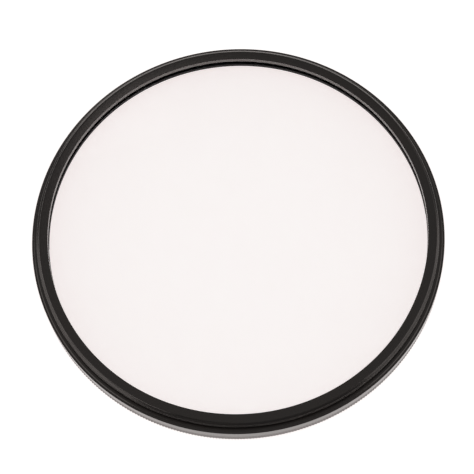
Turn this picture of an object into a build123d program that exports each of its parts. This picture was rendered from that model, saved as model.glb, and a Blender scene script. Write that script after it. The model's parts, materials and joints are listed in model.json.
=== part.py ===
from build123d import *
import os
from math import cos, pi, sin

# Screw-in lens filter lying on its front rim: Z is the optical axis and points to the lens.
# Three pieces: a turned aluminium frame, a flat glass disc and a threaded retaining ring.
# All sizes are in millimetres.

# Lens thread, cut round the back of the frame and repeated as a socket in its front
thread_diameter = 77.0
thread_pitch = 0.75
thread_length = 2.0
thread_lead_in_height = 0.37
thread_lead_in_width = 0.6
thread_relief_width = 0.3
thread_relief_depth = 0.5

# Socket in the front
socket_depth = 1.9
socket_thread_depth_per_pitch = 0.5413
socket_lead_in = 0.4
socket_relief_width = 0.35
socket_relief_clearance = 0.05
socket_floor_width = 0.55

# Rim that is gripped to turn the filter
shoulder_width = 1.1
shoulder_edge = 0.12

# Straight knurl round the front half of the rim, open to the front face
knurl_teeth = 432
knurl_height = 2.1
knurl_depth = 0.12
knurl_inset = 0.02

# Glass disc and the lip that it lies against
glass_thickness = 2.0
glass_edge = 0.2
glass_clearance = 0.1
lip_overlap = 0.65
lip_thickness = 1.1

# Retaining ring that holds the glass from the front
retainer_height = 1.0
retainer_overlap = 0.6
retainer_thread_step = 0.45
retainer_clearance = 0.05
retainer_run_out = 0.3
retainer_edge = 0.15
notch_count = 2
notch_width = 1.6
notch_depth = 0.5

# Radii, from the lens thread outwards and then inwards
thread_radius = thread_diameter / 2
rim_radius = thread_radius + shoulder_width
socket_radius = thread_radius - socket_thread_depth_per_pitch * thread_pitch
retainer_bore_radius = socket_radius - socket_floor_width
retainer_radius = retainer_bore_radius - retainer_clearance
seat_radius = retainer_bore_radius - retainer_thread_step
glass_radius = seat_radius - glass_clearance
aperture_radius = glass_radius - lip_overlap
retainer_inner_radius = glass_radius - retainer_overlap

# Levels above the front face: socket, retaining ring, glass and lip stack up to the top
glass_bottom = socket_depth + retainer_height
glass_top = glass_bottom + glass_thickness
top_level = glass_top + lip_thickness
shoulder_level = top_level - thread_length


def turned(*outline):
    # A section in the XZ plane, given as radius and level, turned round the optical axis
    section = make_face(Polyline(*[(r, 0, z) for r, z in outline], close=True))
    return revolve(section, Axis.Z)


def toothed_face(crest_radius, root_radius, teeth):
    # A closed zigzag of crests and roots
    half_tooth = pi / teeth
    corners = []
    for i in range(2 * teeth):
        radius = root_radius if i % 2 else crest_radius
        corners.append((radius * cos(i * half_tooth), radius * sin(i * half_tooth)))
    return make_face(Polyline(*corners, close=True))


def knurl_tool():
    # What the knurling takes away: a band with the teeth left standing inside it, past the front face too
    crest_radius = rim_radius - knurl_inset
    teeth = toothed_face(crest_radius, crest_radius - knurl_depth, knurl_teeth)
    band = Circle(rim_radius + knurl_depth) - teeth
    return extrude(band, knurl_height, both=True)


def filter_frame():
    thread_start = shoulder_level + thread_relief_width
    thread_relief_radius = thread_radius - thread_relief_depth
    socket_relief_radius = thread_radius + socket_relief_clearance
    socket_thread_end = socket_depth - socket_relief_width
    retainer_bore_end = glass_bottom + retainer_run_out
    frame = turned(
        # rim
        (rim_radius, 0),
        (rim_radius, shoulder_level - shoulder_edge),
        (rim_radius - shoulder_edge, shoulder_level),
        # lens thread, from its relief to its lead-in
        (thread_relief_radius, shoulder_level),
        (thread_relief_radius, thread_start),
        (thread_radius, thread_start),
        (thread_radius, top_level - thread_lead_in_height),
        (thread_radius - thread_lead_in_width, top_level),
        # lip and glass seat
        (aperture_radius, top_level),
        (aperture_radius, glass_top),
        (seat_radius, glass_top),
        (seat_radius, retainer_bore_end),
        # bore of the retaining ring
        (retainer_bore_radius, retainer_bore_end),
        (retainer_bore_radius, socket_depth),
        # socket, from its relief to its lead-in
        (socket_relief_radius, socket_depth),
        (socket_relief_radius, socket_thread_end),
        (socket_radius, socket_thread_end),
        (socket_radius, socket_lead_in),
        (socket_radius + socket_lead_in, 0),
    )
    return frame - knurl_tool()


def glass_disc():
    return turned(
        (0, glass_bottom),
        (glass_radius - glass_edge, glass_bottom),
        (glass_radius, glass_bottom + glass_edge),
        (glass_radius, glass_top - glass_edge),
        (glass_radius - glass_edge, glass_top),
        (0, glass_top),
    )


def retaining_ring():
    ring = turned(
        (retainer_inner_radius, glass_bottom),
        (retainer_inner_radius, socket_depth + retainer_edge),
        (retainer_inner_radius + retainer_edge, socket_depth),
        (retainer_radius - retainer_edge, socket_depth),
        (retainer_radius, socket_depth + retainer_edge),
        (retainer_radius, glass_bottom),
    )
    # Spanner notches, cut right across the front face
    ring_width = retainer_radius - retainer_inner_radius
    notch = Pos(retainer_radius, 0, socket_depth) * Box(3 * ring_width, notch_width, 2 * notch_depth)
    for turn in PolarLocations(0, notch_count):
        ring -= turn * notch
    return ring


os.makedirs("parts", exist_ok=True)
export_step(filter_frame(), "parts/filter_frame.step")
export_step(glass_disc(), "parts/glass_disc.step")
export_step(retaining_ring(), "parts/retaining_ring.step")
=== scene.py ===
# Screw-in lens filter: a turned black frame with threads and knurl, a clear glass and its retaining ring
import json
import math

import bpy
import numpy as np
from mathutils import Matrix, Vector


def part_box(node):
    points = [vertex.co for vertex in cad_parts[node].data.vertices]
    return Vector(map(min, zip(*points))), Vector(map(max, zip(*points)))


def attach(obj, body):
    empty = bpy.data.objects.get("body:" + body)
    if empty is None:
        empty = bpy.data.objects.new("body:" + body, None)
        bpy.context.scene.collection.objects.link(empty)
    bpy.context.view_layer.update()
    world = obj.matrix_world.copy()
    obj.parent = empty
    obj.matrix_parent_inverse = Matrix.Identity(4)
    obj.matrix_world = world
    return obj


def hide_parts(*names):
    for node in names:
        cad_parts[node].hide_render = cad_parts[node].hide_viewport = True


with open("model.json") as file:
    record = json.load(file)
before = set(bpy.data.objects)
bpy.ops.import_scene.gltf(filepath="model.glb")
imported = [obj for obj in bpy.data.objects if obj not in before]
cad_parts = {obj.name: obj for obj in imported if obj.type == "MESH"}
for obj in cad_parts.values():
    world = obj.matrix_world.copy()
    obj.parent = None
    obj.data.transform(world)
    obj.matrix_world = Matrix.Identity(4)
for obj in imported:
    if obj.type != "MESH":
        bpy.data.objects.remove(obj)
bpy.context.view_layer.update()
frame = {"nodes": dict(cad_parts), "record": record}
print("frame loaded with", sorted(frame["nodes"]))

mm = 0.001
fullTurn = 2 * math.pi
mounts = {mount["name"]: mount for mount in frame["record"]["mounts"]}
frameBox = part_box("filter_frame")
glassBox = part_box("glass_disc")
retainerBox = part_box("retaining_ring")


# Mesh helpers

def fillMesh(name, points, quads, triangles=None):
    # Puts whole arrays of points and faces into a new object at the origin
    mesh = bpy.data.meshes.new(name)
    corners = quads.reshape(-1)
    sizes = np.full(len(quads), 4)
    if triangles is not None:
        corners = np.concatenate([corners, triangles.reshape(-1)])
        sizes = np.concatenate([sizes, np.full(len(triangles), 3)])
    starts = np.concatenate([[0], np.cumsum(sizes)[:-1]])
    mesh.vertices.add(len(points))
    mesh.vertices.foreach_set("co", points.astype(np.float32).reshape(-1))
    mesh.loops.add(len(corners))
    mesh.loops.foreach_set("vertex_index", corners.astype(np.int32))
    mesh.polygons.add(len(sizes))
    mesh.polygons.foreach_set("loop_start", starts.astype(np.int32))
    mesh.update(calc_edges=True)
    mesh.validate()
    piece = bpy.data.objects.new(name, mesh)
    bpy.context.scene.collection.objects.link(piece)
    return piece


def ringPoints(radii, levels, angles):
    # Point of row i and column j: its radius times the cosine and sine of the column's angle, at its level
    radii, levels, angles = np.broadcast_arrays(radii, levels, angles)
    return np.stack([radii * np.cos(angles), radii * np.sin(angles), levels], axis=-1)


def ringQuads(rows, columns, closed=True):
    # Each face joins a row to the next and a column to the next; the columns close, and the rows too if asked
    index = np.arange(rows * columns).reshape(rows, columns)
    nextRow = np.roll(index, -1, axis=0)
    quads = np.stack([index, np.roll(index, -1, axis=1), np.roll(nextRow, -1, axis=1), nextRow], axis=-1)
    return (quads if closed else quads[:-1]).reshape(-1, 4)


def shadeTurned(piece, columns, sharpAngle, softRows=None):
    # Smooth faces with sharp corners; rows of a thread keep soft edges, because its crests cross the grid
    mesh = piece.data
    mesh.shade_smooth()
    mesh.set_sharp_from_angle(angle=math.radians(sharpAngle))
    if softRows is None:
        return
    ends = np.empty(len(mesh.edges) * 2, dtype=np.int32)
    mesh.edges.foreach_get("vertices", ends)
    sharp = np.empty(len(mesh.edges), dtype=bool)
    marks = mesh.attributes["sharp_edge"].data
    marks.foreach_get("value", sharp)
    soft = np.isin(ends.reshape(-1, 2) // columns, softRows).all(axis=1)
    marks.foreach_set("value", sharp & ~soft)


def threadWave(level, angles, pitch, crestShare, rootShare):
    # Share of the thread's depth at a level and angle, 0 on the crest and 1 in the root.
    # The phase grows by one for each pitch of height and falls by one for each turn, a right-hand helix.
    phase = level / pitch - angles / fullTurn
    away = np.abs((phase + 0.5) % 1 - 0.5)
    return np.clip((away - crestShare / 2) / (0.5 - crestShare / 2 - rootShare / 2), 0, 1)


# Node helpers

def newMaterial(name):
    material = bpy.data.materials.new(name)
    material.use_nodes = True
    return material, material.node_tree.nodes["Principled BSDF"]


def addNode(tree, kind, **values):
    node = tree.nodes.new(kind)
    for key, value in values.items():
        setattr(node, key, value)
    return node


def mathNode(tree, operation, first, second=None):
    node = addNode(tree, "ShaderNodeMath", operation=operation)
    for socket, value in zip(node.inputs, (first, second)):
        if value is None:
            continue
        if isinstance(value, (int, float)):
            socket.default_value = value
        else:
            tree.links.new(value, socket)
    return node.outputs[0]


def turnedCoordinate(tree, levelShare):
    # Radius less a share of the height: it runs across every turned face, so tool marks lie along the turning
    place = addNode(tree, "ShaderNodeTexCoord").outputs["Object"]
    split = addNode(tree, "ShaderNodeSeparateXYZ")
    tree.links.new(place, split.inputs[0])
    across = mathNode(tree, "MULTIPLY", split.outputs["X"], split.outputs["X"])
    along = mathNode(tree, "MULTIPLY", split.outputs["Y"], split.outputs["Y"])
    radius = mathNode(tree, "SQRT", mathNode(tree, "ADD", across, along))
    lowering = mathNode(tree, "MULTIPLY", split.outputs["Z"], levelShare)
    return place, split.outputs["Z"], mathNode(tree, "SUBTRACT", radius, lowering)


def noiseNode(tree, dimensions, coordinate, size, detail):
    node = addNode(tree, "ShaderNodeTexNoise", noise_dimensions=dimensions)
    node.inputs["Scale"].default_value = 1 / size
    node.inputs["Detail"].default_value = detail
    tree.links.new(coordinate, node.inputs["W" if dimensions == "1D" else "Vector"])
    return node.outputs["Fac"]


def rangeNode(tree, value, low, high, fromLow, fromHigh):
    node = addNode(tree, "ShaderNodeMapRange")
    tree.links.new(value, node.inputs["Value"])
    for name, number in (("From Min", fromLow), ("From Max", fromHigh), ("To Min", low), ("To Max", high)):
        node.inputs[name].default_value = number
    return node.outputs["Result"]


# Finishes

def anodisedBlack(name, look):
    # Satin black anodised metal: fine turning marks, a blasted grain and a slightly uneven dye
    material, shader = newMaterial(name)
    tree = material.node_tree
    place, height, turned = turnedCoordinate(tree, look["levelShare"])
    marks = noiseNode(tree, "1D", turned, look["markWidth"], look["markDetail"])
    grain = noiseNode(tree, "3D", place, look["grainSize"], look["grainDetail"])
    dye = noiseNode(tree, "3D", place, look["dyeSize"], look["dyeDetail"])
    tint = addNode(tree, "ShaderNodeMix", data_type="RGBA")
    tint.inputs["A"].default_value = (*look["warmBlack"], 1)
    tint.inputs["B"].default_value = (*look["coolBlack"], 1)
    tree.links.new(dye, tint.inputs["Factor"])
    tree.links.new(tint.outputs["Result"], shader.inputs["Base Color"])
    smooth = rangeNode(tree, grain, *look["roughness"], *look["grainRange"])
    rougher = rangeNode(tree, height, look["lowRoughness"], 0, *look["lowLevels"])
    tree.links.new(mathNode(tree, "ADD", smooth, rougher), shader.inputs["Roughness"])
    shader.inputs["IOR"].default_value = look["ior"]
    shader.inputs["Specular Tint"].default_value = (*look["glossTint"], 1)
    relief = mathNode(tree, "ADD", mathNode(tree, "MULTIPLY", marks, look["markShare"]), grain)
    bump = addNode(tree, "ShaderNodeBump")
    bump.inputs["Strength"].default_value = look["bumpStrength"]
    bump.inputs["Distance"].default_value = look["bumpDepth"]
    tree.links.new(relief, bump.inputs["Height"])
    tree.links.new(bump.outputs["Normal"], shader.inputs["Normal"])
    return material


def filterGlass(name, look):
    # Clear polished glass; its coating takes most of the reflection away
    material, shader = newMaterial(name)
    shader.inputs["Base Color"].default_value = (*look["tint"], 1)
    shader.inputs["Transmission Weight"].default_value = 1
    shader.inputs["Roughness"].default_value = 0
    shader.inputs["IOR"].default_value = look["ior"]
    shader.inputs["Specular Tint"].default_value = (*look["coating"], 1)
    return material


# Frame: one turned ring

frameValues = {
    "teeth": 432,                     # of the knurl, two columns of points each
    "knurlHeight": 2.1 * mm,
    "knurlDepth": 0.12 * mm,
    "knurlInset": 0.02 * mm,
    "knurlRunOut": 0.06 * mm,
    "shoulderEdge": 0.06 * mm,
    "stepInset": 0.39 * mm,           # from the rim to the foot of the step
    "stepRun": 0.16 * mm,
    "stepRise": 0.074 * mm,
    "pitch": 0.75 * mm,
    "threadFlats": (1 / 8, 1 / 4),    # of the pitch, on the lens thread's crest and in its root
    "threadDepth": 0.46 * mm,
    "threadLength": 2.0 * mm,
    "threadTurn": 0.24,               # where the lens thread starts, in turns
    "threadReliefWidth": 0.3 * mm,
    "threadReliefDepth": 0.5 * mm,
    "threadRows": 44,
    "leadInHeight": 0.37 * mm,
    "leadInWidth": 0.6 * mm,
    "topRound": 0.2 * mm,             # from the corner of the lead-in to the ends of its rounding
    "topRows": 5,
    "lipOverlap": 0.65 * mm,          # inwards from the glass's edge
    "glassGap": 0.1 * mm,
    "retainerGap": 0.05 * mm,
    "retainerRunOut": 0.3 * mm,
    "socketFlats": (1 / 4, 1 / 8),    # the same in the socket, where they change places
    "socketLeadIn": 0.4 * mm,
    "socketReliefWidth": 0.35 * mm,
    "socketReliefGap": 0.05 * mm,
    "socketRows": 28,
    "brokenEdge": 0.04 * mm,          # small bevel at the front, the relief, the lip and the bore
    "sharpAngle": 18,                 # degrees between two faces from which their edge is sharp
    "look": {
        "warmBlack": (0.030, 0.0255, 0.022),
        "coolBlack": (0.025, 0.0242, 0.0245),
        "dyeSize": 12 * mm,
        "dyeDetail": 1,
        "roughness": (0.16, 0.23),
        "grainRange": (0.3, 0.7),     # of the grain's noise, spread over the roughness
        "lowRoughness": 0.18,         # added in the knurl and the socket
        "lowLevels": (2.05 * mm, 2.15 * mm),
        "ior": 1.85,
        "glossTint": (1.0, 0.90, 0.85),
        "levelShare": 0.7,            # of the height, for the marks on upright faces
        "markWidth": 0.05 * mm,
        "markDetail": 2,
        "markShare": 1.5,
        "grainSize": 0.06 * mm,
        "grainDetail": 3,
        "bumpStrength": 0.25,
        "bumpDepth": 0.004 * mm,
    },
}


def makeFrame(values):
    # A section carried round the axis. Rows run up the rim, over the thread, down the bore
    # and out along the front. A row's radius is constant, except in the knurl, where crests and
    # roots alternate, and in the two threads, where it is the helical wave cut off by the lead-in.
    columns = 2 * values["teeth"]
    angles = np.arange(columns) * fullTurn / columns
    rim = frameBox[1].x
    top = frameBox[1].z
    thread = mounts["lens_thread"]["dims"]["r_mm"] * mm
    socket = mounts["front_socket"]["dims"]["r_mm"] * mm
    glass = glassBox[1].x
    socketDepth = retainerBox[0].z
    shoulder = top - values["threadLength"]
    pitch = values["pitch"]
    edge = values["brokenEdge"]
    rows = []

    def addRow(radius, level):
        rows.append((np.broadcast_to(radius, columns), np.broadcast_to(level, columns)))

    # rim with its knurl
    crest = rim - values["knurlInset"]
    toothed = np.where(np.arange(columns) % 2 == 0, crest, crest - values["knurlDepth"])
    addRow(toothed - edge, 0)
    addRow(toothed, edge)
    addRow(toothed, values["knurlHeight"] - values["knurlRunOut"])
    addRow(rim, values["knurlHeight"])
    addRow(rim, shoulder - values["shoulderEdge"])
    addRow(rim - values["shoulderEdge"], shoulder)
    # low bevelled step round the thread's foot
    land = shoulder + values["stepRise"]
    stepFoot = rim - values["stepInset"]
    addRow(stepFoot, shoulder)
    addRow(stepFoot - values["stepRun"], land)
    # relief of the lens thread
    relief = thread - values["threadReliefDepth"]
    threadStart = shoulder + values["threadReliefWidth"]
    addRow(relief + edge, land)
    addRow(relief, land + edge)
    addRow(relief, threadStart)
    # lens thread, which ends in a lead-in with a rounded corner
    threadFirst = len(rows)
    threadAngles = angles - values["threadTurn"] * fullTurn
    corner = thread - values["leadInWidth"]
    slope = math.atan2(values["leadInHeight"], values["leadInWidth"])
    roundRadius = values["topRound"] / math.tan(slope / 2)
    lean = np.linspace(slope, 0, values["topRows"])
    roundLevels = top - roundRadius * (1 - np.cos(lean))
    roundRadii = corner - values["topRound"] + roundRadius * np.sin(lean)
    flatLevels = np.linspace(threadStart, roundLevels[0], values["threadRows"])[:-1]
    flatRadii = np.minimum(thread, corner + (top - flatLevels) / math.tan(slope))
    for level, leadIn in zip(np.append(flatLevels, roundLevels), np.append(flatRadii, roundRadii)):
        wave = threadWave(level, threadAngles, pitch, *values["threadFlats"])
        addRow(np.minimum(thread - values["threadDepth"] * wave, leadIn), level)
    threadSoft = np.arange(threadFirst, len(rows))
    # lip, glass seat and bore of the retaining ring
    aperture = glass - values["lipOverlap"]
    lipBottom = glassBox[1].z
    seat = glass + values["glassGap"]
    bore = retainerBox[1].x + values["retainerGap"]
    boreEnd = retainerBox[1].z + values["retainerRunOut"]
    addRow(aperture + edge, top)
    addRow(aperture, top - edge)
    addRow(aperture, lipBottom + edge)
    addRow(aperture + edge, lipBottom)
    addRow(seat, lipBottom)
    addRow(seat, boreEnd)
    addRow(bore, boreEnd)
    addRow(bore, socketDepth + edge)
    addRow(bore + edge, socketDepth)
    # socket
    socketRelief = thread + values["socketReliefGap"]
    socketEnd = socketDepth - values["socketReliefWidth"]
    addRow(socketRelief, socketDepth)
    addRow(socketRelief, socketEnd)
    socketFirst = len(rows)
    for level in np.linspace(socketEnd, 0, values["socketRows"]):
        wave = threadWave(level, angles, pitch, *values["socketFlats"])
        leadIn = socket + max(0, values["socketLeadIn"] - level)
        addRow(np.maximum(socket + (thread - socket) * wave, leadIn), level)
    socketSoft = np.arange(socketFirst, len(rows) - 1)

    radii = np.array([radius for radius, level in rows])
    levels = np.array([level for radius, level in rows])
    points = ringPoints(radii, levels, angles)
    piece = fillMesh("turnedFrame", points.reshape(-1, 3), ringQuads(len(rows), columns))
    shadeTurned(piece, columns, values["sharpAngle"], np.concatenate([threadSoft, socketSoft]))
    piece.data.materials.append(anodisedBlack("anodisedBlack", values["look"]))
    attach(piece, "root")
    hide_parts("filter_frame")
    print("frame:", len(rows), "rows of", columns, "columns")


# Glass

glassValues = {
    "columns": 288,
    "rings": (0.25, 0.5, 0.75),       # shares of the flat's radius
    "edge": 0.2 * mm,
    "faceGap": 0.01 * mm,             # film of air towards the lip and the retaining ring
    "sharpAngle": 20,
    "look": {
        "tint": (0.838, 0.827, 0.828),
        "ior": 1.52,
        "coating": (0.1, 0.1, 0.1),   # share of the reflection that is left
    },
}


def makeGlass(values):
    # A disc as rings of points: out over the front face, up the bevelled edge and in over the back face,
    # with one point at the middle of each face
    columns = values["columns"]
    angles = np.arange(columns) * fullTurn / columns
    radius = glassBox[1].x
    edge = values["edge"]
    flat = radius - edge
    bottom = glassBox[0].z + values["faceGap"]
    top = glassBox[1].z - values["faceGap"]
    inner = [share * flat for share in values["rings"]]
    radii = np.array(inner + [flat, radius, radius, flat] + inner[::-1])
    levels = np.array([bottom] * len(inner) + [bottom, bottom + edge, top - edge, top] + [top] * len(inner))
    points = ringPoints(radii[:, None], levels[:, None], angles[None, :]).reshape(-1, 3)
    rows = len(radii)
    middle = np.array([[0, 0, bottom], [0, 0, top]])
    around = np.arange(columns)
    following = np.roll(around, -1)
    last = (rows - 1) * columns
    lowFan = np.stack([np.full(columns, rows * columns), following, around], axis=-1)
    highFan = np.stack([np.full(columns, rows * columns + 1), last + around, last + following], axis=-1)
    piece = fillMesh("glassDisc", np.concatenate([points, middle]), ringQuads(rows, columns, closed=False),
                     np.concatenate([lowFan, highFan]))
    shadeTurned(piece, columns, values["sharpAngle"])
    piece.data.materials.append(filterGlass("filterGlass", values["look"]))
    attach(piece, "root")
    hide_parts("glass_disc")
    print("glass:", rows, "rings of", columns, "points")


# Retaining ring, with the frame's finish made matt and darker; the darker black is partly the ring's own matt
# black and partly painted shade of the recess under the glass

retainerValues = {
    "columns": 720,
    "overlap": 0.6 * mm,              # inwards from the glass's edge
    "edge": 0.15 * mm,
    "notchWidth": 1.6 * mm,
    "notchDepth": 0.5 * mm,
    "notchAngles": (0, 180),
    "notchSlope": 0.002,              # turn of a notch's side, in degrees
    "sharpAngle": 30,
    "look": {
        **frameValues["look"],
        # far darker than the frame's black: partly the ring's own matt black, partly painted shade of the
        # dark recess it sits in under the glass
        "warmBlack": (0.0045, 0.0042, 0.0040),
        "coolBlack": (0.0036, 0.0038, 0.0040),
        "roughness": (0.50, 0.62),
        "lowRoughness": 0,
        "ior": 1.25,
        "glossTint": (1.0, 1.0, 1.0),
    },
}


def makeRetainer(values):
    # A section carried round the axis; in a notch's columns no point lies lower than the notch's floor
    radius = retainerBox[1].x
    bottom, top = retainerBox[0].z, retainerBox[1].z
    bore = glassBox[1].x - values["overlap"]
    edge = values["edge"]
    halfNotch = math.degrees(math.asin(values["notchWidth"] / 2 / radius))
    centres = np.array(values["notchAngles"], dtype=float)
    corners = [centres + side * (halfNotch + slope)
               for side in (-1, 1) for slope in (0, values["notchSlope"])]
    even = np.arange(values["columns"]) * 360 / values["columns"]
    degrees = np.unique(np.concatenate([even, *corners]) % 360)
    away = np.abs((degrees[:, None] - centres + 180) % 360 - 180).min(axis=1)
    inNotch = away < halfNotch + values["notchSlope"] / 2
    floor = np.where(inNotch, bottom + values["notchDepth"], bottom)
    section = np.array([
        (radius - edge, bottom), (radius, bottom + edge), (radius, top),
        (bore, top), (bore, bottom + edge), (bore + edge, bottom),
    ])
    levels = np.maximum(section[:, 1:2], floor[None, :])
    points = ringPoints(section[:, 0:1], levels, np.radians(degrees)[None, :])
    piece = fillMesh("retainingRing", points.reshape(-1, 3), ringQuads(len(section), len(degrees)))
    shadeTurned(piece, len(degrees), values["sharpAngle"])
    piece.data.materials.append(anodisedBlack("anodisedMattAndShade", values["look"]))
    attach(piece, "root")
    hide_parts("retaining_ring")
    print("retaining ring:", len(degrees), "columns")


# Table, lit from below

tableValues = {
    "size": 3.0,
    "drop": 0.02 * mm,
    "colour": (0.60, 0.83, 0.82),
    "roughness": 0.9,
    "glow": (0.985, 0.895, 0.885),
}


def makeTable(values):
    # A flat square a hair below the filter's front face
    points = np.array([(-1, -1, 0), (1, -1, 0), (1, 1, 0), (-1, 1, 0)]) * values["size"] / 2
    points[:, 2] = -values["drop"]
    table = fillMesh("lightTable", points, np.array([[0, 1, 2, 3]]))
    material, shader = newMaterial("paleTable")
    shader.inputs["Base Color"].default_value = (*values["colour"], 1)
    shader.inputs["Roughness"].default_value = values["roughness"]
    shader.inputs["Specular IOR Level"].default_value = 0
    shader.inputs["Emission Color"].default_value = (*values["glow"], 1)
    shader.inputs["Emission Strength"].default_value = 1
    table.data.materials.append(material)


# Room

roomValues = {
    "colour": (1, 1, 1),
    "strength": (0.04, 0.20),         # low down and overhead
    "heights": (0.6, 0.9),            # sines of the elevations between which it changes
}


def makeRoom(values):
    # A dim room that brightens overhead; the backdrop that is seen past the table is as white as the table
    room = bpy.data.worlds.new("studio")
    bpy.context.scene.world = room
    room.use_nodes = True
    tree = room.node_tree
    sky = tree.nodes["Background"]
    sky.inputs["Color"].default_value = (*values["colour"], 1)
    split = addNode(tree, "ShaderNodeSeparateXYZ")
    tree.links.new(addNode(tree, "ShaderNodeTexCoord").outputs["Generated"], split.inputs[0])
    strength = rangeNode(tree, split.outputs["Z"], *values["strength"], *values["heights"])
    backdrop = addNode(tree, "ShaderNodeLightPath").outputs["Is Camera Ray"]
    tree.links.new(mathNode(tree, "MAXIMUM", strength, backdrop), sky.inputs["Strength"])


# Lamps: a mirrored one shows only in glossy faces, any other lights only the matt ones

lamps = {
    "softboxAbove": {
        "place": (0, -0.1, 0.8), "size": (0.7, 0.7), "roll": 0, "watts": 1.0, "mirrored": False,
    },
    "softboxLeft": {
        "place": (-0.43, -0.03, 0.30), "size": (0.55, 0.17), "roll": 26, "watts": 0.255, "mirrored": True,
    },
    "softboxRight": {
        "place": (0.43, -0.05, 0.30), "size": (0.56, 0.17), "roll": -26, "watts": 0.25, "mirrored": True,
    },
    "smallSoftbox": {
        "place": (-0.072, 0.3815, 0.723), "size": (0.06, 0.06), "roll": 0, "watts": 0.0115, "mirrored": True,
    },
    "cornerRight": {
        "place": (0.415, 0.313, 0.30), "size": (0.2, 0.3), "roll": 0, "watts": 0.062, "mirrored": True,
    },
    "cornerLeft": {
        "place": (-0.415, 0.313, 0.30), "size": (0.2, 0.3), "roll": 0, "watts": 0.025, "mirrored": True,
    },
    "stripBehind": {
        "place": (0.02, 0.6, 0.1), "size": (1.08, 0.2), "roll": 0, "watts": 0.83, "mirrored": True,
    },
}


def aimed(place, aim, roll):
    # At its place, looking at the aim point and turned about that line by the roll in degrees
    place = Vector(place)
    turn = (Vector(aim) - place).to_track_quat("-Z", "Y").to_matrix().to_4x4()
    return Matrix.Translation(place) @ turn @ Matrix.Rotation(math.radians(roll), 4, "Z")


def makeLamp(name, values):
    lamp = bpy.data.lights.new(name, "AREA")
    lamp.shape = "RECTANGLE"
    lamp.size, lamp.size_y = values["size"]
    lamp.energy = values["watts"]
    holder = bpy.data.objects.new(name, lamp)
    holder.visible_glossy = values["mirrored"]
    holder.visible_diffuse = not values["mirrored"]
    holder.visible_camera = False
    bpy.context.scene.collection.objects.link(holder)
    holder.matrix_world = aimed(values["place"], (0, 0, 0), values["roll"])


# Camera

cameraValues = {
    "place": (0, -124.25 * mm, 321.46 * mm),
    "aim": (-0.178 * mm, -0.721 * mm, 4.0 * mm),
    "roll": -5.4,
    "lens": 134.9,
    "sensor": 36,
    "clip": (0.01, 10),
}


def makeCamera(values):
    lens = bpy.data.cameras.new("camera")
    lens.lens = values["lens"]
    lens.sensor_width = values["sensor"]
    lens.clip_start, lens.clip_end = values["clip"]
    camera = bpy.data.objects.new("camera", lens)
    bpy.context.scene.collection.objects.link(camera)
    camera.matrix_world = aimed(values["place"], values["aim"], values["roll"])
    bpy.context.scene.camera = camera


makeFrame(frameValues)
makeGlass(glassValues)
makeRetainer(retainerValues)
makeTable(tableValues)
makeRoom(roomValues)
for lampName, lampValues in lamps.items():
    makeLamp(lampName, lampValues)
makeCamera(cameraValues)
bpy.context.scene.view_settings.view_transform = "Standard"
print("table, room, lamps and camera are in place")
